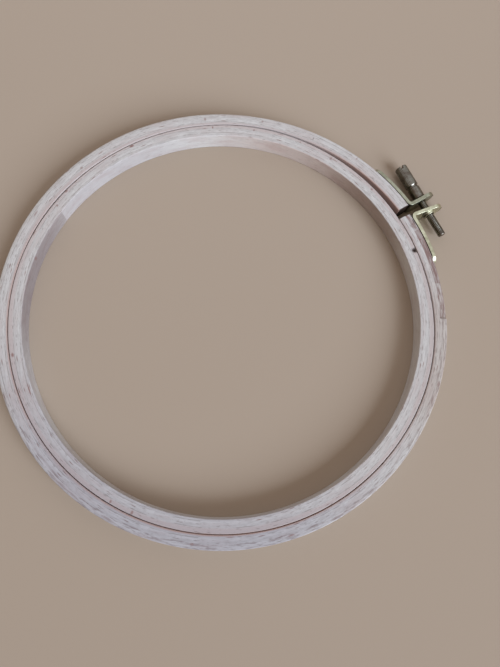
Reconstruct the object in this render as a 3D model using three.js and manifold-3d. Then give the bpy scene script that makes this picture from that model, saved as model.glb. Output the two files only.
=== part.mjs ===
// A wooden embroidery hoop tensioned by a screw. Millimetres, +Z up, lying flat on its two rings.
// The split of the outer ring points along +Y, and the screw runs along X, its head towards -X.
// Angles are counted from the split, positive towards +X, in degrees.

import * as THREE from 'three';
import { mergeVertices } from 'three/addons/utils/BufferGeometryUtils.js';
import Module from 'manifold-3d';

// Rings
const innerRingRadius = 101.6;
const innerRingWall = 6.4;
const outerRingWall = 6.3;
const ringClearance = 0.4;
const ringHeight = 10;
const edgeChamfer = 0.7;
const segmentAngle = 3;

// Split of the outer ring, from its middle to either end, and how far the left end springs outwards
const leftEndGap = 1.3;
const rightEndGap = 2.6;
const springOut = 2.3;
const springAngle = 52;
const springCurve = 1.15;

// Places where the outer ring bends as it opens
const bendAngle = 145;
const seamGap = 0.3;

// Ledge along the outer edge of the right end's top face
const ledgeWidth = 2.8;
const ledgeDepth = 0.7;
const ledgeEndAngle = 32.4;

// Brackets, each one strip bent to an L
const stripThickness = 1.9;
const stripWidth = 9;
const stripBendRadius = 1;
const legSeat = 0.45;
const leftLegAngle = 14.6;
const rightLegAngle = 16.5;
const earHeight = 19.4;
const leftEarOffset = -1.35;
const leftEarLean = 0;
const rightEarOffset = 5.6;
const rightEarLean = 9;
const collarRadius = 3.1;
const collarHeight = 1.2;

// Screw
const screwStandOff = 12.2;
const screwTilt = 4.3;
const rodRadius = 2;
const rodLength = 23.2;
const rodChamfer = 0.5;
const knurlRadius = 3.3;
const knurlLength = 12.4;
const knurlDepth = 0.25;
const knurlTeeth = 30;
const grooveRadius = 2.7;
const grooveLength = 1.2;
const shoulderRadius = 3.2;
const shoulderLength = 6.4;
const headChamfer = 0.5;
const slotWidth = 1.4;
const slotDepth = 1.8;
const slotLean = 14;
const shoulderSeat = 0.5;
const rodClearance = 0.4;

// Nails through the legs
const nailRadius = 0.6;
const nailGrip = 4.2;
const nailPoint = 1;
const nailHeadRadius = 1.4;
const nailHeadHeight = 0.6;
const nailHeadSeat = 0.1;
const nailClearance = 0.15;
const nailAngles = [5.2, 10.8];

// Sizes that follow from these
const outerRingInside = innerRingRadius + ringClearance;
const outerRingOutside = outerRingInside + outerRingWall;
const leftEndAngle = -toDegrees(Math.asin(leftEndGap / (outerRingInside + springOut)));
const rightEndAngle = toDegrees(Math.asin(rightEndGap / outerRingInside));
const middleHeight = ringHeight / 2;
const screwReach = outerRingOutside + screwStandOff;
const earReach = outerRingOutside + earHeight;

const wasm = await Module();
wasm.setup();

function toRadians(degrees) {
  return degrees * Math.PI / 180;
}

function toDegrees(radians) {
  return radians * 180 / Math.PI;
}

// Point at an angle from the split and a distance from the rings' middle.
function ringPoint(angle, radius, z = 0) {
  const a = toRadians(angle);
  return new THREE.Vector3(radius * Math.sin(a), radius * Math.cos(a), z);
}

// How far the outer ring stands out from its round shape: only the left end does, more towards the split.
function springAt(angle) {
  const share = Math.max(0, 1 + Math.min(angle, 0) / springAngle);
  return angle < 0 ? springOut * share ** springCurve : 0;
}

// Closed geometry through a row of closed sections, with flat ends unless the row closes on itself.
function sweep(sections, closed = false) {
  const count = sections[0].length;
  const rows = sections.length;
  const faces = [];
  for (let i = 0; i < (closed ? rows : rows - 1); i++) {
    const next = (i + 1) % rows;
    for (let j = 0; j < count; j++) {
      const k = (j + 1) % count;
      faces.push(i * count + j, i * count + k, next * count + k);
      faces.push(i * count + j, next * count + k, next * count + j);
    }
  }
  const last = (rows - 1) * count;
  for (let j = 1; !closed && j < count - 1; j++) {
    faces.push(0, j + 1, j);
    faces.push(last, last + j, last + j + 1);
  }
  const geometry = new THREE.BufferGeometry().setFromPoints(sections.flat());
  geometry.setIndex(facingOut(sections.flat(), faces));
  return geometry;
}

// The same faces, turned round if they enclose a negative volume.
function facingOut(points, faces) {
  let volume = 0;
  for (let i = 0; i < faces.length; i += 3) {
    const [a, b, c] = [points[faces[i]], points[faces[i + 1]], points[faces[i + 2]]];
    volume += a.dot(b.clone().cross(c));
  }
  return volume > 0 ? faces : faces.reverse();
}

function toSolid(geometry) {
  const bare = geometry.clone();
  bare.deleteAttribute('normal');
  bare.deleteAttribute('uv');
  const merged = mergeVertices(bare, 1e-4);
  return new wasm.Manifold(new wasm.Mesh({
    numProp: 3,
    vertProperties: new Float32Array(merged.attributes.position.array),
    triVerts: new Uint32Array(merged.index.array),
  }));
}

function toGeometry(solid) {
  const mesh = solid.getMesh();
  const geometry = new THREE.BufferGeometry();
  geometry.setAttribute('position', new THREE.BufferAttribute(mesh.vertProperties, mesh.numProp));
  geometry.setIndex(new THREE.BufferAttribute(mesh.triVerts, 1));
  return geometry;
}

function cut(geometry, cutters) {
  let solid = toSolid(geometry);
  for (const cutter of cutters) solid = solid.subtract(toSolid(cutter));
  return toGeometry(solid);
}

function join(geometry, other) {
  return toGeometry(toSolid(geometry).add(toSolid(other)));
}

// Plain round bar from one point to another.
function bar(from, to, radius, sides = 24) {
  const length = from.distanceTo(to);
  const along = to.clone().sub(from).normalize();
  const turn = new THREE.Quaternion().setFromUnitVectors(new THREE.Vector3(0, 1, 0), along);
  const geometry = new THREE.CylinderGeometry(radius, radius, length, sides);
  geometry.applyQuaternion(turn);
  const middle = from.clone().add(to).multiplyScalar(0.5);
  return geometry.translate(middle.x, middle.y, middle.z);
}

// Wooden rings

// Section of a ring at an angle: a rectangle with chamfered edges.
function ringSection(angle, inside, outside) {
  const c = edgeChamfer;
  const h = ringHeight;
  return [
    ringPoint(angle, inside + c, 0),
    ringPoint(angle, outside - c, 0),
    ringPoint(angle, outside, c),
    ringPoint(angle, outside, h - c),
    ringPoint(angle, outside - c, h),
    ringPoint(angle, inside + c, h),
    ringPoint(angle, inside, h - c),
    ringPoint(angle, inside, c),
  ];
}

// Angles from one end of a stretch of ring to the other, in even steps.
function steps(from, to) {
  const count = Math.ceil(Math.abs(to - from) / segmentAngle);
  return Array.from({ length: count + 1 }, (_, i) => from + (to - from) * i / count);
}

function innerRingGeometry() {
  const angles = steps(0, 360).slice(0, -1);
  const inside = innerRingRadius - innerRingWall;
  return sweep(angles.map((a) => ringSection(a, inside, innerRingRadius)), true);
}

function outerRingGeometry(from, to) {
  return sweep(steps(from, to).map((a) => {
    const spring = springAt(a);
    return ringSection(a, outerRingInside + spring, outerRingOutside + spring);
  }));
}

// What is taken off the right end's top face to leave the ledge.
function ledgeCutter() {
  const inside = outerRingOutside - ledgeWidth;
  const outside = outerRingOutside + ledgeWidth;
  const low = ringHeight - ledgeDepth;
  const high = ringHeight + ledgeDepth;
  return sweep(steps(0, ledgeEndAngle).map((a) => [
    ringPoint(a, inside, low),
    ringPoint(a, outside, low),
    ringPoint(a, outside, high),
    ringPoint(a, inside, high),
  ]));
}

// Brackets

// The screw's axis crosses the middle of the split at its stand-off, and leans a little.
const screwTurn = -toRadians(screwTilt);
const screwAlong = new THREE.Vector3(Math.cos(screwTurn), Math.sin(screwTurn), 0);
const screwMiddle = new THREE.Vector3(0, screwReach, middleHeight);

// Middle line of an ear: a point of it on the screw's axis, and its direction outwards.
function earLine(offset, lean) {
  const outwards = ringPoint(lean, 1);
  const point = screwMiddle.clone().addScaledVector(screwAlong, offset / screwAlong.x);
  return { point, outwards };
}

const leftEar = earLine(leftEarOffset, leftEarLean);
const rightEar = earLine(rightEarOffset, rightEarLean);

// Distance of the middle of a leg's strip from the rings' middle.
function legRadius(angle) {
  return outerRingOutside + springAt(angle) + legSeat + stripThickness / 2;
}

// Angle at which a leg's middle line meets its ear's middle line.
function cornerAngle(ear, side) {
  let angle = side;
  for (let i = 0; i < 20; i++) {
    const y = legRadius(angle) * Math.cos(toRadians(angle));
    const x = ear.point.x + (y - ear.point.y) * ear.outwards.x / ear.outwards.y;
    angle = toDegrees(Math.atan2(x, y));
  }
  return angle;
}

// Middle line of a bracket, from its leg's tip round the bend to its ear's tip.
function bracketPath(ear, side, legAngle) {
  const meeting = cornerAngle(ear, side);
  const corner = ringPoint(meeting, legRadius(meeting), middleHeight);
  const before = ringPoint(meeting + side, legRadius(meeting + side), middleHeight);
  const legwards = corner.clone().sub(before).normalize();
  const turn = legwards.angleTo(ear.outwards);
  const radius = stripBendRadius + stripThickness / 2;
  const setBack = radius * Math.tan(turn / 2);
  const bendStart = corner.clone().addScaledVector(legwards, -setBack);
  const bendEnd = corner.clone().addScaledVector(ear.outwards, setBack);

  const path = new THREE.CurvePath();
  const legEnd = meeting + side * toDegrees(setBack / legRadius(meeting));
  const legPoints = steps(side * legAngle, legEnd).slice(0, -1).map(
    (a) => ringPoint(a, legRadius(a), middleHeight));
  [...legPoints, bendStart].reduce((from, to) => {
    path.add(new THREE.LineCurve3(from, to));
    return to;
  });

  const centre = bendStart.clone().add(bendEnd).multiplyScalar(0.5);
  const inwards = centre.sub(corner).normalize();
  const pivot = corner.clone().addScaledVector(inwards, radius / Math.cos(turn / 2));
  const axis = legwards.clone().cross(ear.outwards).normalize();
  const arm = bendStart.clone().sub(pivot);
  const bendSteps = 6;
  let from = bendStart;
  for (let i = 1; i <= bendSteps; i++) {
    const to = arm.clone().applyAxisAngle(axis, turn * i / bendSteps).add(pivot);
    path.add(new THREE.LineCurve3(from, to));
    from = to;
  }
  const tipReach = earReach - stripThickness / 2 * Math.abs(ear.outwards.x);
  const tip = ear.point.clone().addScaledVector(
    ear.outwards, (tipReach - ear.point.y) / ear.outwards.y);
  path.add(new THREE.LineCurve3(from, tip));
  return path;
}

// Strip along a path in the plane, its two ends rounded across its width but for a narrow flat.
function stripGeometry(path) {
  const half = stripWidth / 2;
  const length = path.getLength();
  const turns = [8, 22, 38, 55, 72, 90].map(toRadians);
  const round = turns.map((turn) => (
    { along: half * (Math.cos(turns[0]) - Math.cos(turn)), width: half * Math.sin(turn) }));
  const joints = path.getCurveLengths().filter((s) => s > half && s < length - half);
  const stations = [
    ...round.map((r) => ({ s: r.along, width: r.width })),
    ...joints.map((s) => ({ s, width: half })),
    ...round.map((r) => ({ s: length - r.along, width: r.width })).reverse(),
  ];
  const up = new THREE.Vector3(0, 0, 1);
  const reach = 0.02;
  return sweep(stations.map(({ s, width }) => {
    const point = path.getPointAt(s / length);
    const back = path.getPointAt(Math.max(s - reach, 0) / length);
    const ahead = path.getPointAt(Math.min(s + reach, length) / length);
    const across = ahead.sub(back).cross(up).normalize().multiplyScalar(stripThickness / 2);
    return [
      point.clone().add(across).addScaledVector(up, -width),
      point.clone().sub(across).addScaledVector(up, -width),
      point.clone().sub(across).addScaledVector(up, width),
      point.clone().add(across).addScaledVector(up, width),
    ];
  }));
}

// Where a nail stands: on the leg's outer face, and its direction into the wood.
function nailSeat(angle) {
  const step = 0.5;
  const outside = (a) => ringPoint(a, legRadius(a) + stripThickness / 2, middleHeight);
  const along = outside(angle + step).sub(outside(angle - step));
  const inwards = along.cross(new THREE.Vector3(0, 0, 1)).normalize();
  return { point: outside(angle), inwards };
}

function nailHole(angle) {
  const { point, inwards } = nailSeat(angle);
  const depth = stripThickness + legSeat + nailGrip + nailPoint + nailClearance;
  const from = point.clone().addScaledVector(inwards, -1);
  const to = point.clone().addScaledVector(inwards, depth);
  return bar(from, to, nailRadius + nailClearance, 12);
}

function rodHole(ear) {
  const from = ear.point.clone().addScaledVector(screwAlong, -stripThickness * 2);
  const to = ear.point.clone().addScaledVector(screwAlong, stripThickness + collarHeight * 2);
  return bar(from, to, rodRadius + rodClearance);
}

function leftBracketGeometry() {
  const strip = stripGeometry(bracketPath(leftEar, -1, leftLegAngle));
  return cut(strip, [rodHole(leftEar), ...nailAngles.map((a) => nailHole(-a))]);
}

// The right ear has a drawn collar round its hole, on the side away from the head.
function rightBracketGeometry() {
  const strip = stripGeometry(bracketPath(rightEar, 1, rightLegAngle));
  const top = rightEar.point.clone().addScaledVector(screwAlong, stripThickness / 2 + collarHeight);
  const collar = bar(rightEar.point, top, collarRadius);
  return cut(join(strip, collar), [rodHole(rightEar), ...nailAngles.map((a) => nailHole(a))]);
}

// Screw and nails, turned about their own X axis

// Round of points at a place along X. With teeth, every second point lies deeper.
function turnedSection(x, radius, sides, toothDepth = 0) {
  return Array.from({ length: sides }, (_, i) => {
    const r = radius - (i % 2) * toothDepth;
    const a = 2 * Math.PI * i / sides;
    return new THREE.Vector3(x, r * Math.cos(a), r * Math.sin(a));
  });
}

// The screw's own X runs from the head to the rod's tip, with 0 at the shoulder's face.
function screwGeometry() {
  const sides = knurlTeeth * 2;
  const knurlEnd = -shoulderLength - grooveLength;
  const headEnd = knurlEnd - knurlLength;
  const c = headChamfer;
  const round = (x, radius) => turnedSection(x, radius, sides);
  const toothed = (x) => turnedSection(x, knurlRadius, sides, knurlDepth);
  const blank = sweep([
    round(headEnd, knurlRadius - knurlDepth - c),
    toothed(headEnd + c),
    toothed(knurlEnd - c / 2),
    round(knurlEnd, knurlRadius - knurlDepth - c / 2),
    round(knurlEnd, grooveRadius),
    round(-shoulderLength, grooveRadius),
    round(-shoulderLength, shoulderRadius - c / 2),
    round(-shoulderLength + c / 2, shoulderRadius),
    round(-c / 2, shoulderRadius),
    round(0, shoulderRadius - c / 2),
    round(0, rodRadius),
    round(rodLength - rodChamfer, rodRadius),
    round(rodLength, rodRadius - rodChamfer),
  ]);
  const slot = new THREE.BoxGeometry(slotDepth * 2, slotWidth, knurlRadius * 3);
  return cut(blank, [slot.rotateX(toRadians(slotLean)).translate(headEnd, 0, 0)]);
}

// A nail's own X runs into the wood, with 0 at the leg's outer face.
function nailGeometry() {
  const sides = 12;
  const shank = stripThickness + legSeat + nailGrip;
  const round = (x, radius) => turnedSection(x, radius, sides);
  const top = -nailHeadSeat - nailHeadHeight;
  return sweep([
    round(top, nailHeadRadius * 0.4),
    round(top + nailHeadHeight * 0.35, nailHeadRadius * 0.85),
    round(-nailHeadSeat, nailHeadRadius),
    round(-nailHeadSeat, nailRadius),
    round(shank, nailRadius),
    round(shank + nailPoint, nailRadius * 0.2),
  ]);
}

// Assembly

const beech = { color: 0xc8b9ae, roughness: 0.75, metalness: 0 };
const brass = { color: 0xb3b08a, roughness: 0.35, metalness: 1 };
const bronze = { color: 0x5a5148, roughness: 0.4, metalness: 1 };

function piece(name, geometry, finish) {
  const mesh = new THREE.Mesh(geometry, new THREE.MeshStandardMaterial(finish));
  mesh.name = name;
  return mesh;
}

// Two nails through a leg, side -1 for the left bracket and 1 for the right one.
function nails(name, side) {
  return nailAngles.map((angle, i) => {
    const { point, inwards } = nailSeat(side * angle);
    const nail = piece(`${name}_${i + 1}`, nailGeometry(), brass);
    nail.position.copy(point);
    nail.quaternion.setFromUnitVectors(new THREE.Vector3(1, 0, 0), inwards);
    return nail;
  });
}

const seamAngle = toDegrees(seamGap / 2 / outerRingInside);
const leftNailHoles = nailAngles.map((a) => nailHole(-a));
const rightNailHoles = nailAngles.map((a) => nailHole(a));

const innerRing = piece('inner_ring', innerRingGeometry(), beech);

const back = piece('outer_ring_back',
  outerRingGeometry(bendAngle + seamAngle, 360 - bendAngle - seamAngle), beech);

const leftArm = new THREE.Group();
leftArm.add(
  piece('outer_ring_left',
    cut(outerRingGeometry(leftEndAngle, -bendAngle + seamAngle), leftNailHoles), beech),
  piece('left_bracket', leftBracketGeometry(), brass),
  ...nails('left_bracket_nail', -1),
);

const rightArm = new THREE.Group();
rightArm.add(
  piece('outer_ring_right',
    cut(outerRingGeometry(rightEndAngle, bendAngle - seamAngle),
      [ledgeCutter(), ...rightNailHoles]), beech),
  piece('right_bracket', rightBracketGeometry(), brass),
  ...nails('right_bracket_nail', 1),
);

// The screw's shoulder stands against the left ear.
const screw = piece('tension_screw', screwGeometry(), bronze);
screw.position.copy(leftEar.point).addScaledVector(screwAlong, -stripThickness / 2 - shoulderSeat);
screw.rotation.z = screwTurn;

// The part's origin is on the table, in the middle of its outline.
const hoop = new THREE.Group();
hoop.name = 'embroidery_hoop';
hoop.position.y = -earHeight / 2;
hoop.add(innerRing, back, leftArm, rightArm, screw);

export default hoop;
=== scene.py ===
import bpy
import numpy as np
from mathutils import Matrix, Vector


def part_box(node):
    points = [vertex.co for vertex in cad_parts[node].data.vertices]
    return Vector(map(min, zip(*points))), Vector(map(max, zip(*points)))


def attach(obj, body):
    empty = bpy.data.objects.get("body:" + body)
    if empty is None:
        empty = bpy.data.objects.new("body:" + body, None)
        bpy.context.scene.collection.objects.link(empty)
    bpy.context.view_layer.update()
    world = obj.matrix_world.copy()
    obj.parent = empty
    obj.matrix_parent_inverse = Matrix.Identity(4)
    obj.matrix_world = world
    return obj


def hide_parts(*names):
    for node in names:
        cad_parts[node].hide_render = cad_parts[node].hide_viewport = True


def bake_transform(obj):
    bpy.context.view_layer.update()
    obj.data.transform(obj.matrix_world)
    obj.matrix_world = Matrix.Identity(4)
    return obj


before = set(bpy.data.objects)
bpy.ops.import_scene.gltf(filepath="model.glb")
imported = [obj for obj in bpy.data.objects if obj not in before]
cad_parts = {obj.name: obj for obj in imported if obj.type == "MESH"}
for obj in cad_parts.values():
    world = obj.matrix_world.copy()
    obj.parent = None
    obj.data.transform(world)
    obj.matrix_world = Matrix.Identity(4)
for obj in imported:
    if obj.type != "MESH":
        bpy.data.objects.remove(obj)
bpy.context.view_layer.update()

# View
# The hoop lies flat and is seen from above, from beside its middle, with the screw to the upper right.
# Sizes are in metres.
eye = Vector((0.0609, -0.0473, 0.2500))
looking = Vector((-0.1808, 0.1691, -0.9689)).normalized()
upwards = Vector((-0.8391, 0.4874, 0.2416))
focal_length_px = 520
picture_height_px = 667
nearest_seen = 0.01

rightwards = looking.cross(upwards).normalized()
upwards = rightwards.cross(looking)
camera = bpy.data.objects.new("camera", bpy.data.cameras.new("camera"))
camera.data.lens = camera.data.sensor_width * focal_length_px / picture_height_px
camera.data.clip_start = nearest_seen
camera.matrix_world = Matrix.Translation(eye) @ Matrix(
    (rightwards, upwards, -looking)).transposed().to_4x4()
bpy.context.scene.collection.objects.link(camera)
bpy.context.scene.camera = camera
bpy.context.scene.view_settings.view_transform = "Standard"


# Floor and light
# A plain pale floor. A wide soft lamp stands far off on the side of the screw's tip, as a window would, and a
# weaker one hangs over the side of its head. A faint warm room fills in the rest, and metal mirrors the room's
# pale ceiling and dim sides.
def colour(red, green, blue):
    """Linear colour of a screen colour from 0 to 255: a 2.4 power, straight near black."""
    share = np.array([red, green, blue]) / 255
    linear = np.where(share < 0.04045, share / 12.92, ((share + 0.055) / 1.055) ** 2.4)
    return (*linear.tolist(), 1)


def join(tree, sockets, values):
    """Gives each input socket its value, or joins it to the output that stands for the value."""
    for socket, value in zip(sockets, values):
        if isinstance(value, bpy.types.NodeSocket):
            tree.links.new(value, socket)
        else:
            socket.default_value = value


def put(tree, kind, settings=None, **inputs):
    """Adds a node. Each input is named with _ for a space, and takes a value or an output."""
    node = tree.nodes.new(kind)
    for key, value in (settings or {}).items():
        setattr(node, key, value)
    join(tree, [node.inputs[key.replace("_", " ")] for key in inputs], inputs.values())
    return node


def maths(tree, operation, first, second=0.0):
    """A sum, product or other function of one or two numbers or outputs."""
    node = put(tree, "ShaderNodeMath", {"operation": operation})
    join(tree, node.inputs, (first, second))
    return node.outputs[0]


def vector_maths(tree, operation, first, second=(0, 0, 0)):
    """A sum, product, length or other function of one or two vectors or outputs."""
    node = put(tree, "ShaderNodeVectorMath", {"operation": operation})
    join(tree, node.inputs, (first, second))
    return node.outputs["Value" if operation in ("LENGTH", "DOT_PRODUCT") else "Vector"]


def ramp(tree, value, low, high, start=0.0, end=1.0):
    """Smooth change from start to end while a value goes from low to high."""
    settings = {"interpolation_type": "SMOOTHSTEP"}
    node = put(tree, "ShaderNodeMapRange", settings, Value=value,
               From_Min=low, From_Max=high, To_Min=start, To_Max=end)
    return node.outputs[0]


def new_material(name, **finish):
    """A material with one surface shader, and its node tree."""
    material = bpy.data.materials.new(name)
    material.use_nodes = True
    tree = material.node_tree
    tree.nodes.clear()
    shader = put(tree, "ShaderNodeBsdfPrincipled", **finish)
    put(tree, "ShaderNodeOutputMaterial", Surface=shader.outputs[0])
    return material, tree, shader


floor_reach = 3
floor_corners = [(x * floor_reach, y * floor_reach, 0) for x, y in ((-1, -1), (1, -1), (1, 1), (-1, 1))]
floor_mesh = bpy.data.meshes.new("floor")
floor_mesh.from_pydata(floor_corners, [], [(0, 1, 2, 3)])
floor_mesh.materials.append(
    new_material("floor", Base_Color=colour(177, 162, 146), Roughness=0.8, Specular_IOR_Level=0.2)[0])
floor = bpy.data.objects.new("floor", floor_mesh)
bpy.context.scene.collection.objects.link(floor)

room_colour = colour(255, 226, 200)
room_strength = 0.33
background_colour = colour(222, 222, 220)
ceiling_towards = (0, 0.4, 0.92)
ceiling_edge = (0.50, 0.80)
side_brightness = 0.04
ceiling_brightness = 0.62

world = bpy.data.worlds.new("room")
world.use_nodes = True
room = world.node_tree
room.nodes.clear()
rays = put(room, "ShaderNodeLightPath").outputs
mirrored = maths(room, "MAXIMUM", rays["Is Glossy Ray"], rays["Is Transmission Ray"])
direction = put(room, "ShaderNodeTexCoord").outputs["Generated"]
ceiling = ramp(room, vector_maths(room, "DOT_PRODUCT", direction, ceiling_towards), *ceiling_edge,
               side_brightness, ceiling_brightness)
seen = maths(room, "MAXIMUM", rays["Is Camera Ray"], maths(room, "MULTIPLY", mirrored, ceiling))
faint = put(room, "ShaderNodeBackground", Color=room_colour, Strength=room_strength)
pale = put(room, "ShaderNodeBackground", Color=background_colour, Strength=1.0)
either = put(room, "ShaderNodeMixShader")
join(room, either.inputs, (seen, faint.outputs[0], pale.outputs[0]))
put(room, "ShaderNodeOutputWorld", Surface=either.outputs[0])
bpy.context.scene.world = world


def lamp(name, towards, distance, size, strength, tint):
    """Square soft lamp in a direction from the hoop, facing it."""
    light = bpy.data.objects.new(name, bpy.data.lights.new(name, "AREA"))
    light.data.size = size
    light.data.energy = strength
    light.data.color = tint[:3]
    direction = Vector(towards).normalized()
    light.matrix_world = Matrix.Translation(direction * distance) @ (
        direction.to_track_quat("Z", "Y").to_matrix().to_4x4())
    bpy.context.scene.collection.objects.link(light)


lamp("window", towards=(0.965, 0.20, 0.58), distance=6.0, size=3.8, strength=440.0,
     tint=colour(228, 240, 255))
lamp("overhead", towards=(-0.75, 0.35, 1.0), distance=0.42, size=0.7, strength=0.70,
     tint=colour(230, 240, 255))


# Inner ring
# One strip of pale beech, a little uneven in thickness, bent round and glued to itself at a long scarf, then
# sanded. Nothing is fixed to it: the cloth is laid over it, and the outer ring is pushed down round both.
inner_low, inner_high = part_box("inner_ring")
ring_middle = (inner_low + inner_high) / 2
ring_height = inner_high.z
inner_outside = (inner_high.x - inner_low.x) / 2
inner_wall = 0.0064
inside_waver = 0.0002
outside_waver = 0.00008
edge_rounding = 0.00035
row_step = np.radians(0.5)
inner_top_stops = np.linspace(0, 1, 25)[1:-1]
scarf_start = np.radians(203)
scarf_end = np.radians(243)

# Where the line between the two rings stands further out or in, by how much, and over how many degrees.
meeting_places = (45, 150, 258, 310)
meeting_shifts = (0.0007, -0.00015, -0.00065, 0.00025)
meeting_widths = (20, 20, 27, 14)

# A nick in the top of the ring's outer edge, a little past the split, with closer rows of points over it.
nick_angle = np.radians(11.8)
nick_across = 0.0060
nick_reach = (0.0010, 0.0012)
nick_depth = 0.0010
nick_rows = nick_angle + np.linspace(-0.03, 0.03, 40)


def strip_outline(top_stops, bottom_steps=6, wall_steps=8, corner_steps=5):
    """Outline of a rectangle with rounded corners, one row a point: its share of the way across and up, and
    its push across and up in roundings. A corner is a quarter circle, a side is straight between corners."""
    turn = np.linspace(0, np.pi / 2, corner_steps + 1)
    arcs = []
    for across, up, start in ((1, 0, -0.5), (1, 1, 0), (0, 1, 0.5), (0, 0, 1)):
        arc = np.ones((len(turn), 4)) * (across, up, 1 - 2 * across, 1 - 2 * up)
        arc[:, 2] += np.cos(start * np.pi + turn)
        arc[:, 3] += np.sin(start * np.pi + turn)
        arcs.append(arc)
    even = np.linspace(0, 1, wall_steps + 1)[1:-1]
    stops = [even, np.asarray(top_stops), even, np.linspace(0, 1, bottom_steps + 1)[1:-1]]
    pieces = []
    for arc, following, stop in zip(arcs, arcs[1:] + arcs[:1], stops):
        pieces += [arc, arc[-1] + (following[0] - arc[-1]) * stop[:, None]]
    return np.concatenate(pieces)


def waver(angle, size, seed):
    """Slow waver round a ring, from 0 to size: a sum of sines of paces 2 to 7, each smaller than the last."""
    pace = np.arange(2, 8)
    phase = np.random.default_rng(seed).uniform(0, 2 * np.pi, len(pace))
    waves = np.sin(np.outer(angle, pace) + phase) / pace
    return size * (0.5 + 0.5 * waves.sum(1) / (1 / pace).sum())


def bells(angle, places, sizes, widths):
    """Sum round a ring of bell curves: each has a place and a size, and falls off with the square of the
    angle from its place, in its own width. Places and widths are in degrees."""
    apart = (np.asarray(angle)[:, None] - np.radians(places) + np.pi) % (2 * np.pi) - np.pi
    return (np.array(sizes) * np.exp(-(apart / np.radians(widths)) ** 2)).sum(1)


def meeting_line(angle):
    """How far the line where the two rings meet stands out, since both strips are uneven in thickness."""
    return bells(angle, meeting_places, meeting_shifts, meeting_widths)


def ring_rows(angle, inside, outside, outline):
    """Grids of radius and height for a ring: at each angle the outline is stretched between the inside and
    outside radius and over the ring's height, with its corners kept at the edge rounding."""
    across, up, push_across, push_up = outline.T
    width = (outside - inside)[:, None]
    radius = inside[:, None] + across * width + push_across * edge_rounding
    height = up * ring_height + push_up * edge_rounding + 0 * angle[:, None]
    return radius, height


def ring_points(angle, radius, height):
    """Points at an angle from the split, towards +X, a distance from the rings' middle, and a height."""
    x = radius * np.sin(angle)[:, None]
    y = radius * np.cos(angle)[:, None]
    return np.stack([ring_middle.x + x, ring_middle.y + y, height], -1)


def skin(name, points, grain=None, closed=False, crease=40):
    """Closed mesh over a grid of points: each row is an outline, and quads join it to the next row. The end
    rows are filled flat unless the last row joins the first. grain holds the place along, across and up the
    wood of each point, with one row more where the rows close. Edges sharper than the crease stay sharp."""
    rows, columns = points.shape[:2]
    row = np.arange(rows if closed else rows - 1)[:, None]
    column = np.arange(columns)[None, :]
    after = (column + 1) % columns
    corners = [row * columns + column, (row + 1) * columns + column,
               (row + 1) * columns + after, row * columns + after]
    quads = np.stack(corners, -1).reshape(-1, 4)
    ends = [] if closed else [column[0], (rows - 1) * columns + column[0][::-1]]
    flat = points.reshape(-1, 3)
    a, b, c, d = flat[(quads % len(flat)).T] - flat.mean(0)
    if (np.cross(a, b) * c + np.cross(a, c) * d).sum() < 0:
        quads = quads[:, ::-1]
        ends = [end[::-1] for end in ends]
    mesh = bpy.data.meshes.new(name)
    mesh.from_pydata(flat.tolist(), [], (quads % len(flat)).tolist() + [end.tolist() for end in ends])
    mesh.shade_smooth()
    mesh.set_sharp_from_angle(angle=np.radians(crease))
    if grain is not None:
        corner_grain = grain.reshape(-1, 3)[np.concatenate([quads.ravel(), *ends])]
        attribute = mesh.attributes.new("grain", "FLOAT_VECTOR", "CORNER")
        attribute.data.foreach_set("vector", corner_grain.astype(np.float32).ravel())
    piece = bpy.data.objects.new(name, mesh)
    bpy.context.scene.collection.objects.link(piece)
    return piece


even_rows = scarf_end - 2 * np.pi + np.arange(0, 2 * np.pi, row_step)
inner_angle = np.unique(np.concatenate([even_rows, nick_rows]))
inside = inner_outside - inner_wall + waver(inner_angle, inside_waver, seed=3)
outside = inner_outside - waver(inner_angle, outside_waver, seed=5) + meeting_line(inner_angle)
radius, height = ring_rows(inner_angle, inside, outside, strip_outline(inner_top_stops))
along = inner_angle[:, None] * inner_outside + 0 * radius
across = radius - (inner_outside - inner_wall)
nick = np.exp(-((along - nick_angle * inner_outside) / nick_reach[0]) ** 2
              - ((across - nick_across) / nick_reach[1]) ** 2)
height = height - np.where(height > ring_height / 2, nick_depth * nick, 0)
inner_grain = np.stack([along, across, height], -1)
round_once = 2 * np.pi * inner_outside
inner_ring = skin("inner_ring_wood", ring_points(inner_angle, radius, height),
                  np.concatenate([inner_grain, inner_grain[:1] + (round_once, 0, 0)]), closed=True)


def tinted(tree, base, tint, share, blend="MIX"):
    """A colour, mixed towards a tint by a share, or multiplied by it."""
    node = put(tree, "ShaderNodeMix", {"data_type": "RGBA", "blend_type": blend}, Factor=share)
    join(tree, [socket for socket in node.inputs if socket.type == "RGBA"], (base, tint))
    return next(socket for socket in node.outputs if socket.type == "RGBA")


def stretched(tree, place, scale, kind="ShaderNodeTexNoise", **inputs):
    """A noise or cell texture on places multiplied by a scale for each direction."""
    mapping = put(tree, "ShaderNodeMapping", Vector=place, Scale=scale)
    return put(tree, kind, Vector=mapping.outputs[0], Scale=1.0, **inputs)


def directions(tree, vector):
    """A vector's three numbers."""
    return put(tree, "ShaderNodeSeparateXYZ", Vector=vector).outputs


pale_wood = colour(212, 211, 210)
dark_wood = colour(175, 172, 171)
pink_wood = colour(194, 183, 181)
grey_fleck = colour(140, 129, 125)
red_fleck = colour(134, 100, 92)
# rubbed_wood_and_gap_shade is partly wear where the rings rub and partly painted shade: reddish brown on the
# walls that face each other across the narrow gap between the rings.
rubbed_wood_and_gap_shade = colour(172, 140, 128)

# The wood's figure, in repeats a metre along, across and up the strip.
streak_scale = (180, 1250, 1000)
fibre_scale = (260, 6000, 4800)
mottle_scale = (70, 330, 260)
drift_scale = (9, 70, 60)

growth_spacing = 0.0028
growth_wander = 0.0026
growth_line_width = 0.055
pink_fades = (0.0012, 0.0003)
grain_on_walls = 0.4
ray_core = 0.3
spot_edge = (0.7, 1.4)
spot_raggedness = 0.8

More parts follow.
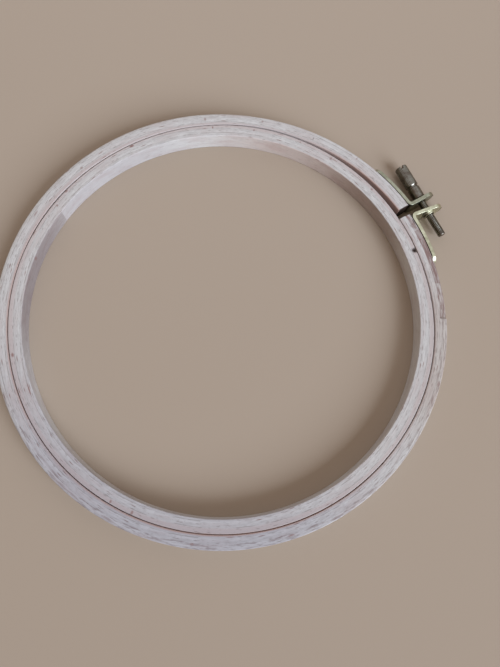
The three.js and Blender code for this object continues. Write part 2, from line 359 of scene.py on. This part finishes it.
# Rays of three sizes: repeats a metre, reach in their own cell, share of cells left out, strength and tint.
ray_kinds = (
    ((430, 3900, 3000), 0.30, 0.45, 0.65, grey_fleck),
    ((230, 1500, 1200), 0.30, 0.55, 0.72, grey_fleck),
    ((120, 900, 750), 0.26, 0.72, 0.8, red_fleck),
)


def beech(name, first_growth, pink_side, tones, marks, scarfed=False, ledge=None):
    """Sanded beech on the grain attribute, which gives the place along, across and up the strip. Across the
    strip the tone darkens up to each growth line and starts again. Streaks, fine fibres and spindle-shaped
    rays run along it, fainter on its walls. pink_side is the stretch across that is pinker. Tones multiply
    the colour over broad stretches and marks are spots mixed into it, each with a place, reach, strength and
    tint. A scarfed strip shows its other end's grain beyond the slanting scarf. ledge is a function that
    tints a ledge."""
    material, tree, shader = new_material(name, Specular_IOR_Level=0.28)
    grain = put(tree, "ShaderNodeAttribute", {"attribute_name": "grain"}).outputs["Vector"]
    along, across = directions(tree, grain)[:2]
    normal = directions(tree, put(tree, "ShaderNodeNewGeometry").outputs["Normal"])
    facing_up = ramp(tree, maths(tree, "ABSOLUTE", normal["Z"]), 0.3, 0.8)
    if scarfed:
        slope = inner_wall / (inner_outside * (scarf_end - scarf_start))
        outward = maths(tree, "SUBTRACT", along, scarf_start * inner_outside)
        past_scarf = maths(tree, "ADD", across, maths(tree, "MULTIPLY", outward, slope))
        past_scarf = maths(tree, "GREATER_THAN", maths(tree, "SUBTRACT", past_scarf, inner_wall), 0.0)
        shift = put(tree, "ShaderNodeCombineXYZ", X=maths(tree, "MULTIPLY", past_scarf, round_once))
        grain = vector_maths(tree, "SUBTRACT", grain, shift.outputs[0])

    streaks = stretched(tree, grain, streak_scale, Detail=4.0, Roughness=0.6).outputs["Fac"]
    fibres = stretched(tree, grain, fibre_scale, Detail=3.0, Roughness=0.6).outputs["Fac"]
    mottle = stretched(tree, grain, mottle_scale, Detail=3.0).outputs["Fac"]
    drift = stretched(tree, grain, drift_scale, Detail=2.0).outputs["Fac"]
    wander = maths(tree, "MULTIPLY", maths(tree, "SUBTRACT", drift, 0.5), growth_wander)
    depth = maths(tree, "ADD", across, wander)

    shown = ramp(tree, facing_up, 0.0, 1.0, start=grain_on_walls)
    streaky = maths(tree, "MULTIPLY", shown, ramp(tree, streaks, 0.38, 0.72, end=0.68))
    fibrous = maths(tree, "MULTIPLY", shown, ramp(tree, fibres, 0.45, 0.8, end=0.55))
    body = tinted(tree, pale_wood, dark_wood, streaky)
    body = tinted(tree, body, dark_wood, fibrous)
    body = tinted(tree, body, pink_wood, ramp(tree, mottle, 0.42, 0.72, end=0.55))
    pink_from, pink_to = pink_side
    pinker = maths(tree, "MULTIPLY", ramp(tree, depth, pink_from, pink_from + pink_fades[0]),
                   ramp(tree, depth, pink_to, pink_to + pink_fades[1], start=0.85, end=0.0))
    body = tinted(tree, body, pink_wood, pinker)

    years = maths(tree, "DIVIDE", maths(tree, "SUBTRACT", depth, first_growth), growth_spacing)
    body = tinted(tree, body, dark_wood, ramp(tree, maths(tree, "FRACT", years), 0.2, 1.0, end=0.26))
    near_line = ramp(tree, maths(tree, "PINGPONG", years, 0.5), 0.0, growth_line_width, start=1.0, end=0.0)
    broken = ramp(tree, streaks, 0.44, 0.56, start=0.15, end=0.9)
    body = tinted(tree, body, grey_fleck, maths(tree, "MULTIPLY", near_line, broken))

    relief = fibres
    for scale, reach, left_out, strength, tint in ray_kinds:
        cells = stretched(tree, grain, scale, "ShaderNodeTexVoronoi", Randomness=1.0)
        pick = put(tree, "ShaderNodeSeparateColor", Color=cells.outputs["Color"]).outputs["Red"]
        inner_part = ramp(tree, cells.outputs["Distance"], reach * ray_core, reach, start=strength, end=0.0)
        ray = maths(tree, "MULTIPLY", inner_part, maths(tree, "GREATER_THAN", pick, left_out))
        ray = maths(tree, "MULTIPLY", ray, shown)
        body = tinted(tree, body, tint, ray)
        relief = maths(tree, "SUBTRACT", relief, ray)

    if ledge:
        body = ledge(tree, body, along, across, facing_up, streaks)
    for blend, spots in (("MULTIPLY", tones), ("MIX", marks)):
        for place, reach, strength, tint in spots:
            off = vector_maths(tree, "DIVIDE", vector_maths(tree, "SUBTRACT", grain, place), reach)
            ragged = maths(tree, "ADD", vector_maths(tree, "LENGTH", off),
                           maths(tree, "MULTIPLY", fibres, spot_raggedness))
            body = tinted(tree, body, tint, ramp(tree, ragged, *spot_edge, start=strength, end=0.0), blend)

    tree.links.new(body, shader.inputs["Base Color"])
    bump = put(tree, "ShaderNodeBump", Height=relief, Strength=0.35, Distance=0.0001)
    tree.links.new(bump.outputs[0], shader.inputs["Normal"])
    tree.links.new(ramp(tree, fibres, 0.3, 0.7, start=0.56, end=0.72), shader.inputs["Roughness"])
    return material


def at(degrees, across_mm, up_mm=10):
    """Place along, across and up a ring's strip, from an angle and two distances in millimetres."""
    return (np.radians(degrees) * inner_outside, across_mm / 1000, up_mm / 1000)


def spread(along_mm, across_mm, up_mm=1):
    """Reach along, across and up the strip, from millimetres."""
    return (along_mm / 1000, across_mm / 1000, up_mm / 1000)


dark_mark = colour(52, 38, 34)
red_mark = colour(128, 86, 78)
dim_tone = colour(184, 173, 173)
pale_tone = colour(232, 229, 231)
# Painted shade: painted_shade_tone darkens and cools the tops round 140°, the side from which the light is
# blocked.
painted_shade_tone = colour(227, 228, 237)
# Painted shade: this tone and the next warm and darken the inner ring's inner wall round -28° and -7°, which
# faces away from the lamps.
painted_warm_shade = colour(250, 237, 232)
painted_brown_shade = colour(219, 212, 208)
inner_tones = [
    (at(223, 0, 5), spread(78, 0.6, 20), 1.0, dim_tone),
    (at(-104, 0, 5), spread(70, 0.6, 20), 1.0, pale_tone),
    # Painted warm shade on the inner wall that faces away from the light.
    (at(-28, 0, 5), spread(80, 0.6, 20), 1.0, painted_warm_shade),
    # Painted brown shade on the same wall, darkest round -7°.
    (at(-7, 0, 5), spread(42, 0.6, 20), 1.0, painted_brown_shade),
    # Painted shade on the inner ring's top round 142°.
    (at(142, 3), spread(130, 50, 6), 0.7, painted_shade_tone),
]
inner_marks = [
    (at(11.8, 5.7, 9.6), spread(1.9, 2.4, 3.0), 1.0, dark_mark),
    (at(-26, 4.6), spread(1.0, 1.3), 0.5, red_mark),
    (at(-10.5, 5.1), spread(1.0, 0.7), 0.6, red_mark),
    (at(-36.5, 5.2), spread(0.6, 0.6), 0.5, red_mark),
    (at(-51, 4.9), spread(0.5, 0.9), 0.7, red_mark),
    (at(-63.5, 4.9), spread(0.6, 1.0), 0.7, red_mark),
    (at(-88.5, 5.0), spread(1.7, 0.9), 0.8, red_mark),
    (at(-112, 5.3), spread(1.4, 0.8), 0.7, red_mark),
    (at(-117, 3.9), spread(0.9, 0.8), 0.6, red_mark),
    (at(144, 5.2), spread(0.9, 1.2), 0.6, red_mark),
    (at(150, 5.2), spread(0.7, 1.0), 0.6, red_mark),
    (at(187, 1.5), spread(4.5, 0.4), 0.8, red_mark),
    (at(197.5, 5.0), spread(1.5, 0.9), 0.7, red_mark),
    # Rubbing and painted gap shade on the outer wall, which faces the outer ring.
    (at(135, 6.4), spread(140, 0.4, 20), 0.7, rubbed_wood_and_gap_shade),
    (at(226, 0, 9), spread(1.5, 0.6, 2.5), 0.5, red_mark),
]
inner_ring.data.materials.append(
    beech("inner_ring_beech", 0.0016, (0.0040, 0.01), inner_tones, inner_marks, scarfed=True))
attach(inner_ring, "inner_ring")
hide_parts("inner_ring")


# Outer ring
# One strip of the same beech, uneven in thickness, bent round and cut through at the screw, which draws its
# ends together. Its own spring opens it, so its left end stands a little off the inner ring. A shallow ledge
# is cut along the outer edge of its right end.
cloth_gap = 0.0004
outer_inside = inner_outside + cloth_gap
outer_wall = 0.0063
outer_waver = 0.00012
left_end_gap = 0.0013
right_end_gap = 0.0026
spring_out = 0.0023
spring_angle = np.radians(52)
spring_power = 1.15
end_softness = 0.00015

# Where the gap between the rings is wider or narrower, by how much, and over how many degrees.
gap_places = (25, 125, 242, 311)
gap_changes = (0.00015, -0.00016, 0.00026, 0.00030)
gap_widths = (15, 35, 11, 9)

# The right end's wall is thicker by the swell, which begins at the split and is gone by the last angle.
swell = 0.00035
swell_angles = np.radians([0, 1, 35, 65])

ledge_from = 0.0035
ledge_depth = 0.0007
ledge_lowers_above = 0.9 * ring_height
ledge_end = np.radians(32.4)
ledge_face = 0.00012
ledge_end_face = 0.0008
ledge_end_rows = ledge_end + np.linspace(-0.001, 0.001, 5)
ledge_stop = 1 - (ledge_from - edge_rounding) / (outer_wall - 2 * edge_rounding)
ledge_stops = ledge_stop + np.linspace(-0.02, 0.02, 5)
outer_top_stops = np.sort(np.concatenate([np.linspace(0, 1, 23)[1:-1], ledge_stops]))

# The ledge's dark tone, partly its own darker wood and partly painted shadow of the bracket's leg, darkest
# from 6.5° to 15.5° beside the leg: how much it drops at each place going along, and how sharply.
ledge_wood_and_leg_shadow = colour(140, 117, 113)
ledge_tone_ends = (ledge_end, *np.radians([6.5, 15.5, 22.5]).tolist())
ledge_tone_drops = (0.5, -0.45, 0.12, 0.35)
ledge_tone_fade = 0.0002
ledge_side_fade = 0.0001


def spring_at(angle):
    """How far the ring stands out: only to the left of the split, less with the angle from it, by a power."""
    share = np.clip(1 + np.minimum(angle, 0) / spring_angle, 0, 1)
    return np.where(angle < 0, spring_out * share ** spring_power, 0)


def ledge_tinted(tree, body, along, across, facing_up, streaks):
    """A body colour darkened on the ledge by a tone that changes in steps along it and with the streaks, the
    darkest steps beside the bracket's leg being painted shadow of the leg.
    """
    on_ledge = maths(tree, "MULTIPLY", facing_up,
                     ramp(tree, across, ledge_from - ledge_side_fade, ledge_from + ledge_side_fade))
    tone = ramp(tree, streaks, 0.4, 0.62, start=-0.35, end=0.4)
    for end, drop in zip(ledge_tone_ends, ledge_tone_drops):
        place = end * inner_outside
        tone = maths(tree, "ADD", tone, ramp(tree, along, place - ledge_tone_fade, place + ledge_tone_fade,
                                             start=drop, end=0.0))
    return tinted(tree, body, ledge_wood_and_leg_shadow, maths(tree, "MULTIPLY", on_ledge, tone))


def outer_half(name, end_angle, marks):
    """Half of the outer ring, from its back to its end at the split, the end's edge slightly softened. On the
    right half the ledge lowers the top face outside a line across and before an angle."""
    side = np.sign(end_angle)
    soft_angle = abs(end_angle) + end_softness / outer_inside
    rows = np.sort(np.concatenate([np.arange(soft_angle, np.pi, row_step), ledge_end_rows]))
    angle = np.concatenate([[end_angle], side * rows, [side * np.pi]])
    inset = np.where(angle == end_angle, end_softness, 0)
    inside = outer_inside + spring_at(angle) - waver(angle, outer_waver, seed=11) + inset
    inside += meeting_line(angle) + bells(angle, gap_places, gap_changes, gap_widths)
    outside = outer_inside + outer_wall + spring_at(angle) - waver(angle, outer_waver, seed=13) - inset
    outside += swell * np.interp(angle, swell_angles, [0, 1, 1, 0])
    radius, height = ring_rows(angle, inside, outside, strip_outline(outer_top_stops))
    across = radius - outer_inside - spring_at(angle)[:, None]
    on_ledge = np.clip((across - ledge_from) / ledge_face + 0.5, 0, 1)
    on_ledge *= np.where(angle > 0, np.clip((ledge_end - angle) / ledge_end_face + 0.5, 0, 1), 0)[:, None]
    height = height - np.where(height > ledge_lowers_above, ledge_depth * on_ledge, 0)
    along = (angle + 2 * np.pi * (angle < 0))[:, None] * inner_outside + 0 * radius
    half = skin(name, ring_points(angle, radius, height), np.stack([along, across, height], -1))
    half.data.materials.append(
        beech(name + "_beech", 0.0017, (-0.01, 0.0009), outer_tones, marks,
              ledge=ledge_tinted if side > 0 else None))
    return half


# Painted shade: painted_dark_shade is laid near black on the rings' end faces at the split, and on the
# brackets' faces turned to the rings, where the gap between them lies in deep shade.
painted_dark_shade = colour(50, 36, 30)
tan_tone = colour(243, 237, 232)
edge_tone = colour(235, 232, 228)
outer_tones = [
    # Painted shade on the outer ring's top round 137°.
    (at(137, 3), spread(130, 50, 6), 1.0, painted_shade_tone),
    (at(42, 4), spread(55, 50, 6), 1.0, tan_tone),
    (at(240, 6.6), spread(220, 2.6, 4), 1.0, edge_tone),
]
left_marks = [
    # Painted shade on the left end face at the split.
    (at(360 - 0.73, 3, 5), spread(0.3, 20, 20), 1.0, painted_dark_shade),
    # Rubbing and painted gap shade on the inner wall near the split, where the spring opens the gap.
    (at(360 - 9, 0, 5), spread(60, 0.7, 20), 0.8, rubbed_wood_and_gap_shade),
    (at(360 - 1.6, 5.9), spread(1.4, 0.8), 0.5, grey_fleck),
    (at(360 - 20, 4.9), spread(0.4, 1.2), 0.5, red_mark),
    (at(360 - 33.5, 2.8), spread(0.4, 1.2), 0.5, dark_mark),
    (at(311, 4.0), spread(0.7, 1.2), 0.4, red_mark),
    (at(294.5, 3.3), spread(0.8, 1.3), 0.5, red_mark),
    (at(256, 2.3), spread(1.2, 0.9), 0.5, red_mark),
    (at(238, 3.5), spread(2.2, 0.6), 0.5, red_mark),
    (at(222, 3.3), spread(1.6, 0.5), 0.5, red_mark),
    # Rubbing and painted gap shade on the inner wall, which faces the inner ring.
    (at(205, 0), spread(110, 0.4, 20), 0.6, rubbed_wood_and_gap_shade),
]
right_marks = [
    # Painted shade on the right end face at the split.
    (at(1.46, 3, 5), spread(0.3, 20, 20), 1.0, painted_dark_shade),
    # Painted shadow of the bracket's leg, along the outer edge beside it.
    (at(4, 6.1, 9.3), spread(2.5, 0.5), 0.6, dark_mark),
    (at(9.3, 4.5, 9.3), spread(0.6, 0.7), 0.6, red_mark),
    (at(50, 5.4), spread(1.8, 0.9), 0.5, red_mark),
    (at(128, 4.2), spread(1.2, 0.8), 0.5, red_mark),
    (at(104.5, 4.4), spread(2.2, 0.5), 0.6, red_mark),
    (at(119, 0.8), spread(2.6, 0.4), 0.5, red_mark),
    # Rubbing and painted gap shade on the inner wall, which faces the inner ring.
    (at(120, 0), spread(120, 0.4, 20), 0.7, rubbed_wood_and_gap_shade),
]
left_half = outer_half("outer_ring_left_half", -left_end_gap / (outer_inside + spring_out), left_marks)
right_half = outer_half("outer_ring_right_half", right_end_gap / outer_inside, right_marks)
for half, side, arm, node in ((left_half, -1, "left_arm", "outer_ring_left"),
                              (right_half, 1, "right_arm", "outer_ring_right")):
    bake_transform(half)
    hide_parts("outer_ring_back", node)


# Brackets
# Two pieces of pale brass strip, each stamped with round ends, bent to an L and nailed by its leg to one end
# of the outer ring. The screw passes through both ears, and the right ear has a collar drawn up round its
# hole.
strip_thickness = 0.0019
strip_width = 0.009
strip_rounding = 0.00025
strip_step = 0.0002
strip_tip_rows = 6
strip_tip_flat = 0.00004
bend_radius = 0.001 + strip_thickness / 2
leg_seat = 0.00045
left_leg = np.radians(14.6)
right_leg = np.radians(16.5)
leg_points = 4000
bend_points = 40
ear_points = 100
outer_outside = outer_inside + outer_wall
ear_height = 0.0194
ear_tip = outer_outside + ear_height + ring_middle.y
left_ear_lean = 0.0
right_ear_lean = np.radians(9)

# The screw's line in the plane, and where it passes through each ear.
screw_tilt = np.radians(4.3)
screw_stand_off = 0.0122
screw_along = np.array([np.cos(screw_tilt), -np.sin(screw_tilt)])
screw_middle = np.array([0, outer_outside + screw_stand_off])
left_ear_at = -0.00135
right_ear_at = 0.0056
left_hole = screw_middle + screw_along * left_ear_at / screw_along[0]
right_hole = screw_middle + screw_along * right_ear_at / screw_along[0]

rod_radius = 0.002
hole_radius = rod_radius + 0.0004
hole_chamfer = 0.00015
collar_radius = 0.0031
collar_height = 0.0012
collar_fillet = 0.0005
metal_crease = 30


def outwards(angle, radius):
    """Point of the plane at an angle from the split and a distance from the rings' middle."""
    return np.stack([radius * np.sin(angle), radius * np.cos(angle)], -1)


def bracket_line(side, leg_angle, hole, ear_lean):
    """Middle line of a bracket from the leg's tip to the ear's, in close-set points. The leg follows the ring
    to one set-back before it would meet the ear's line, an even bend turns it outwards, and the ear is
    straight."""
    ear = outwards(ear_lean, 1)
    angle = side * np.linspace(leg_angle, 0, leg_points)
    leg = outwards(angle, outer_outside + spring_at(angle) + leg_seat + strip_thickness / 2)
    meeting = np.argmin(abs(ear[0] * (leg - hole)[:, 1] - ear[1] * (leg - hole)[:, 0]))
    corner = leg[meeting]
    heading = (corner - leg[meeting - 1]) / np.hypot(*(corner - leg[meeting - 1]))
    sideways = np.array([-heading[1], heading[0]])
    sideways *= np.sign(sideways @ ear)
    turn = np.arccos(heading @ ear)
    set_back = bend_radius * np.tan(turn / 2)
    leg = leg[:meeting]
    leg = leg[np.hypot(*(leg - corner).T) > set_back]
    turned_by = np.linspace(0, turn, bend_points)[:, None]
    bend = corner - heading * set_back + bend_radius * (
        sideways + np.sin(turned_by) * heading - np.cos(turned_by) * sideways)
    tip_reach = outer_outside + ear_height - strip_thickness / 2 * abs(ear[0])
    tip = hole + ear * (tip_reach - hole[1]) / ear[1]
    straight = np.linspace(0, 1, ear_points)[1:, None]
    return np.concatenate([leg, bend, bend[-1] + (tip - bend[-1]) * straight])


def strip(name, line):
    """Strip of metal along a line in the plane: a rectangle with rounded edges, as wide as the strip but for
    its two ends, which are half circles, and rolled over by the rounding at its very tips."""
    run = np.concatenate([[0], np.hypot(*np.diff(line, axis=0).T).cumsum()])
    tips = np.linspace(0, strip_rounding, strip_tip_rows)
    station = np.concatenate([tips, np.arange(2 * strip_rounding, run[-1] - strip_rounding, strip_step),
                              run[-1] - tips[::-1]])
    middle = np.stack([np.interp(station, run, line[:, i]) for i in range(2)], -1)
    ahead = np.gradient(middle, station, axis=0)
    ahead /= np.hypot(*ahead.T)[:, None]
    from_tip = np.minimum(station, run[-1] - station)
    half = strip_width / 2
    reach = np.clip((from_tip + strip_tip_flat) / half, 0, 1)
    half_width = half * np.sqrt(1 - (1 - reach) ** 2)
    rolled = np.clip(from_tip / strip_rounding, 0, 1)
    thickness = strip_thickness - 2 * strip_rounding * (1 - np.sqrt(1 - (1 - rolled) ** 2))
    outline = strip_outline((1 / 3, 2 / 3), bottom_steps=3, wall_steps=16, corner_steps=4)
    across, up, push_across, push_up = outline.T
    off = thickness[:, None] * (across - 0.5) + push_across * strip_rounding
    height = ring_height / 2 + half_width[:, None] * (2 * up - 1) + push_up * strip_rounding
    x = middle[:, :1] + ahead[:, 1:] * off
    y = middle[:, 1:] - ahead[:, :1] * off
    return skin(name, np.stack([ring_middle.x + x, ring_middle.y + y, height], -1))


def turned(name, along, radius, start, axis, sides=64):
    """Closed round body about a level axis. Each row has a place along the axis and a radius, or one radius
    for each of its sides; the angle round it follows the right hand about the axis."""
    angle = np.linspace(0, 2 * np.pi, sides, endpoint=False)
    x, y = axis
    round_it = np.stack([-y * np.cos(angle), x * np.cos(angle), np.sin(angle)], -1)
    radius = np.asarray(radius)
    radius = radius[:, None] if radius.ndim == 1 else radius
    spine = np.array([*start, ring_height / 2]) + np.asarray(along)[:, None] * np.array([x, y, 0])
    centre = np.array([ring_middle.x, ring_middle.y, 0])
    return skin(name, centre + spine[:, None] + radius[..., None] * round_it, crease=metal_crease)


def worked(piece, tool, operation):
    """Joins a second body to a piece, or cuts it away, and deletes the second body."""
    boolean = piece.modifiers.new("worked", "BOOLEAN")
    boolean.object = tool
    boolean.operation = operation
    boolean.solver = "EXACT"
    finished = bpy.data.meshes.new_from_object(piece.evaluated_get(bpy.context.evaluated_depsgraph_get()))
    piece.modifiers.clear()
    piece.data = finished
    bpy.data.objects.remove(tool)


def evened(piece):
    """Shades a piece smoothly over its roundings, with its large faces left flat."""
    piece.data.shade_smooth()
    piece.data.set_sharp_from_angle(angle=np.radians(metal_crease))
    weighted = piece.modifiers.new("evened", "WEIGHTED_NORMAL")
    weighted.keep_sharp = True
    weighted.weight = 80


cloud_scale = (260, 260, 260)
pit_scale = (1500, 1500, 1500)
# Painted shade on the brackets: how far the faces turned to the rings' middle darken, and how far and from
# what distance to the ear's tip its end darkens, as painted shade and dark reflection.
inner_face_painted_shade = 0.9
painted_tip_shade = 0.6
painted_tip_shade_from = 0.0018
painted_tip_shade_full = 0.0006


def metal(name, pale, dark, spot, roughness, scale, relief, painted_bracket_shade=False):
    """Plated metal on object coordinates: fine drawn lines of the scale given for each direction, slow clouds
    of tarnish, and small pits. Lines and pits also change the roughness and stand out a little. A bracket
    gets painted shade: its faces turned to the rings' middle darken, and its ear's tip darkens as painted
    shade and dark reflection."""
    material, tree, shader = new_material(name, Metallic=1.0)
    place = put(tree, "ShaderNodeTexCoord").outputs["Object"]
    lines = stretched(tree, place, scale, Detail=3.0, Roughness=0.65).outputs["Fac"]
    clouds = stretched(tree, place, cloud_scale, Detail=4.0, Roughness=0.6).outputs["Fac"]
    pits = stretched(tree, place, pit_scale, "ShaderNodeTexVoronoi", Randomness=1.0)
    pit = ramp(tree, pits.outputs["Distance"], 0.05, 0.28, start=1.0, end=0.0)
    pit = maths(tree, "MULTIPLY", pit, ramp(tree, clouds, 0.5, 0.62))
    body = tinted(tree, pale, dark, ramp(tree, clouds, 0.38, 0.66, end=0.8))
    body = tinted(tree, body, dark, ramp(tree, lines, 0.45, 0.75, end=0.35))
    body = tinted(tree, body, spot, pit)
    if painted_bracket_shade:
        normal = directions(tree, put(tree, "ShaderNodeNewGeometry").outputs["Normal"])
        # Painted shade on the faces turned to the rings' middle, then on the ear's tip.
        body = tinted(tree, body, painted_dark_shade, ramp(tree, normal["Y"], -0.8, -0.35, start=inner_face_painted_shade, end=0.0))
        body = tinted(tree, body, spot, ramp(tree, directions(tree, place)["Y"], ear_tip - painted_tip_shade_from,
                                             ear_tip - painted_tip_shade_full, end=painted_tip_shade))
    tree.links.new(body, shader.inputs["Base Color"])
    rough = maths(tree, "ADD", ramp(tree, clouds, 0.35, 0.7, start=roughness - 0.05, end=roughness + 0.12),
                  maths(tree, "MULTIPLY", pit, 0.25))
    rough = maths(tree, "ADD", rough, ramp(tree, lines, 0.3, 0.7, start=-0.04, end=0.04))
    tree.links.new(rough, shader.inputs["Roughness"])
    height = maths(tree, "SUBTRACT", lines, maths(tree, "MULTIPLY", pit, 0.8))
    bump = put(tree, "ShaderNodeBump", Height=height, Strength=relief, Distance=0.00005)
    tree.links.new(bump.outputs[0], shader.inputs["Normal"])
    return material


left_bracket = strip("left_bracket_strip", bracket_line(-1, left_leg, left_hole, left_ear_lean))
face = strip_thickness / 2
bore = turned("bore", [-3 * face, -face, hole_chamfer - face, face - hole_chamfer, face, 3 * face],
              hole_radius + hole_chamfer * np.array([1, 1, 0, 0, 1, 1]), left_hole, screw_along)
worked(left_bracket, bore, "DIFFERENCE")

right_bracket = strip("right_bracket_strip", bracket_line(1, right_leg, right_hole, right_ear_lean))
flare = np.linspace(0, np.pi / 2, 7)
collar_top = face + collar_height
collar_along = np.concatenate([[0], face + collar_fillet * (1 - np.cos(flare)),
                               collar_top - strip_rounding * (1 - np.sin(flare))])
collar_outline = np.concatenate([[collar_radius + collar_fillet],
                                 collar_radius + collar_fillet * (1 - np.sin(flare)),
                                 collar_radius - strip_rounding * (1 - np.cos(flare))])
worked(right_bracket, turned("collar", collar_along, collar_outline, right_hole, screw_along), "UNION")
bore = turned("bore", [-3 * face, collar_top - hole_chamfer, collar_top, 2 * collar_top],
              hole_radius + hole_chamfer * np.array([0, 0, 1, 1]), right_hole, screw_along)
worked(right_bracket, bore, "DIFFERENCE")

# The two brackets are the same brass: the left's darker tints are painted shade and the right's paler ones
# painted light.
shaded_left_tints = (colour(174, 175, 156), colour(146, 146, 126), colour(100, 88, 66))
lit_right_tints = (colour(212, 211, 186), colour(178, 176, 150), colour(112, 98, 72))
for bracket, tints, node, arm in ((left_bracket, shaded_left_tints, "left_bracket", "left_arm"),
                                  (right_bracket, lit_right_tints, "right_bracket", "right_arm")):
    evened(bracket)
    bracket.data.materials.clear()
    bracket.data.materials.append(
        metal(node + "_brass", *tints, roughness=0.36, scale=(200, 200, 5200), relief=0.25, painted_bracket_shade=True))
    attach(bracket, arm)
    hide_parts(node)


# Nails
# Four small brass nails with domed heads, two through each leg. Each is driven through the leg into the
# ring, and ends in a point inside its wood.
nail_radius = 0.0006
nail_length = 0.00655
nail_point = 0.001
nail_point_radius = nail_radius * 0.2
nail_head_radius = 0.0014
nail_head_height = 0.0006
nail_head_seat = 0.0001
nail_head_under = 0.97
nail_angles = np.radians([5.2, 10.8])
nail_brass = metal("nail_brass", colour(190, 178, 132), colour(140, 124, 84), colour(90, 72, 48),
                   roughness=0.38, scale=(900, 900, 900), relief=0.3)

dome = np.linspace(0.06, 1, 12)
nail_along = np.concatenate([-nail_head_seat - nail_head_height * np.sqrt(1 - (dome * nail_head_under) ** 2),
                             [-nail_head_seat, -nail_head_seat, nail_length, nail_length + nail_point]])
nail_outline = np.concatenate([nail_head_radius * dome,
                               [nail_head_radius * nail_head_under, nail_radius, nail_radius,
                                nail_point_radius]])
for side, arm, name in ((-1, "left_arm", "left_bracket_nail"), (1, "right_arm", "right_bracket_nail")):
    for count, angle in enumerate(side * nail_angles, 1):
        beside = angle + np.array([-0.01, 0, 0.01])
        before, seat, after = outwards(beside, outer_outside + spring_at(beside) + leg_seat + strip_thickness)
        across_it = (after - before) / np.hypot(*(after - before))
        inwards = np.array([across_it[1], -across_it[0]])
        inwards *= -np.sign(inwards @ seat)
        nail = turned(f"{name}_{count}_domed", nail_along, nail_outline, seat, inwards, sides=32)
        nail.data.materials.append(nail_brass)
        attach(nail, arm)
        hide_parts(f"{name}_{count}")


# Screw
# One piece of brass, turned and plated dark bronze: a knurled head with a slot for a coin, a groove, a plain
# shoulder that comes up to the left ear, and a 4 mm threaded rod that runs on through both ears.
rod_length = 0.0232
rod_chamfer = 0.0005
shoulder_radius = 0.0032
shoulder_length = 0.0064
shoulder_stand_off = 0.0005
turned_edge = 0.0002
groove_radius = 0.0027
groove_length = 0.0012
head_chamfer = 0.0005
head_chamfer_bulge = (0.3, 0.45)
knurl_radius = 0.0033
knurl_length = 0.0124
knurl_depth = 0.00011
knurl_teeth = 30
knurl_end = -shoulder_length - groove_length
head_end = knurl_end - knurl_length
knurl_fades = [head_end + 0.0002, head_end + 0.0008, knurl_end - 0.0006, knurl_end - 0.0001]
slot_width = 0.0014
slot_depth = 0.0018
slot_lean = np.radians(14)
thread_pitch = 0.0007
thread_depth = 0.00036
thread_start = 0.0012
thread_steepness = 2.6
thread_crest = 0.6
thread_rows_a_turn = 8
screw_row_step = 0.0005
screw_sides = knurl_teeth * 5

outline = np.array([
    (head_end, knurl_radius - head_chamfer),
    (head_end + head_chamfer * head_chamfer_bulge[0], knurl_radius - head_chamfer * head_chamfer_bulge[1]),
    (head_end + head_chamfer, knurl_radius),
    (knurl_end - head_chamfer / 2, knurl_radius),
    (knurl_end, knurl_radius - head_chamfer / 2),
    (knurl_end, groove_radius + turned_edge),
    (knurl_end + turned_edge, groove_radius),
    (-shoulder_length - turned_edge, groove_radius),
    (-shoulder_length, groove_radius + turned_edge),
    (-shoulder_length, shoulder_radius - turned_edge),
    (-shoulder_length + turned_edge, shoulder_radius),
    (-turned_edge, shoulder_radius),
    (0, shoulder_radius - turned_edge),
    (0, rod_radius + turned_edge),
    (turned_edge, rod_radius),
    (rod_length - rod_chamfer, rod_radius),
    (rod_length, rod_radius - rod_chamfer),
])
run = np.concatenate([[0], np.hypot(*np.diff(outline, axis=0).T).cumsum()])
rod_run = run[-3]
thread_rows = rod_run + np.arange(0, rod_length, thread_pitch / thread_rows_a_turn)
stations = np.unique(np.concatenate([run, np.arange(0, rod_run, screw_row_step),
                                     thread_rows[thread_rows < run[-1]]]))
along = np.interp(stations, run, outline[:, 0])
radius = np.interp(stations, run, outline[:, 1])

# Teeth are even triangles round the head. The thread's groove has flat crests and straight flanks, and moves
# along by the pitch in a turn.
turn = np.arange(screw_sides) / screw_sides
tooth = abs(turn * knurl_teeth % 1 - 0.5) * 2
on_knurl = np.interp(along, knurl_fades, [0, 1, 1, 0])
in_pitch = abs((along[:, None] / thread_pitch - turn) % 1 - 0.5)
groove = np.clip(in_pitch * thread_steepness - thread_crest, 0, 1)
on_thread = np.interp(along, [thread_start, thread_start + thread_pitch, rod_length], [0, 1, 1])
radius = (radius[:, None] - knurl_depth * on_knurl[:, None] * tooth
          - thread_depth * on_thread[:, None] * groove)
shoulder_face = left_hole - screw_along * (strip_thickness / 2 + shoulder_stand_off)
screw = turned("screw_turned", along, radius, shoulder_face, screw_along, screw_sides)

slot_across = np.array([-1, 1, 1, -1]) * slot_width / 2
slot_up = np.array([-1, -1, 1, 1]) * 2 * knurl_radius
slot_side = slot_across * np.cos(slot_lean) - slot_up * np.sin(slot_lean)
slot_up = slot_across * np.sin(slot_lean) + slot_up * np.cos(slot_lean)
slot_aside = np.outer((-screw_along[1], screw_along[0]), slot_side)
slot_rows = []
for reach in (head_end - slot_depth, head_end + slot_depth):
    x, y = (shoulder_face + screw_along * reach)[:, None] + slot_aside
    slot_rows.append(np.stack([ring_middle.x + x, ring_middle.y + y, ring_height / 2 + slot_up], -1))
worked(screw, skin("slot", np.array(slot_rows)), "DIFFERENCE")
evened(screw)
screw.data.materials.clear()
screw.data.materials.append(
    metal("screw_bronze", colour(137, 135, 127), colour(97, 86, 77), colour(150, 140, 122),
          roughness=0.17, scale=(5200, 300, 300), relief=0.3))
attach(screw, "screw")
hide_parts("tension_screw")
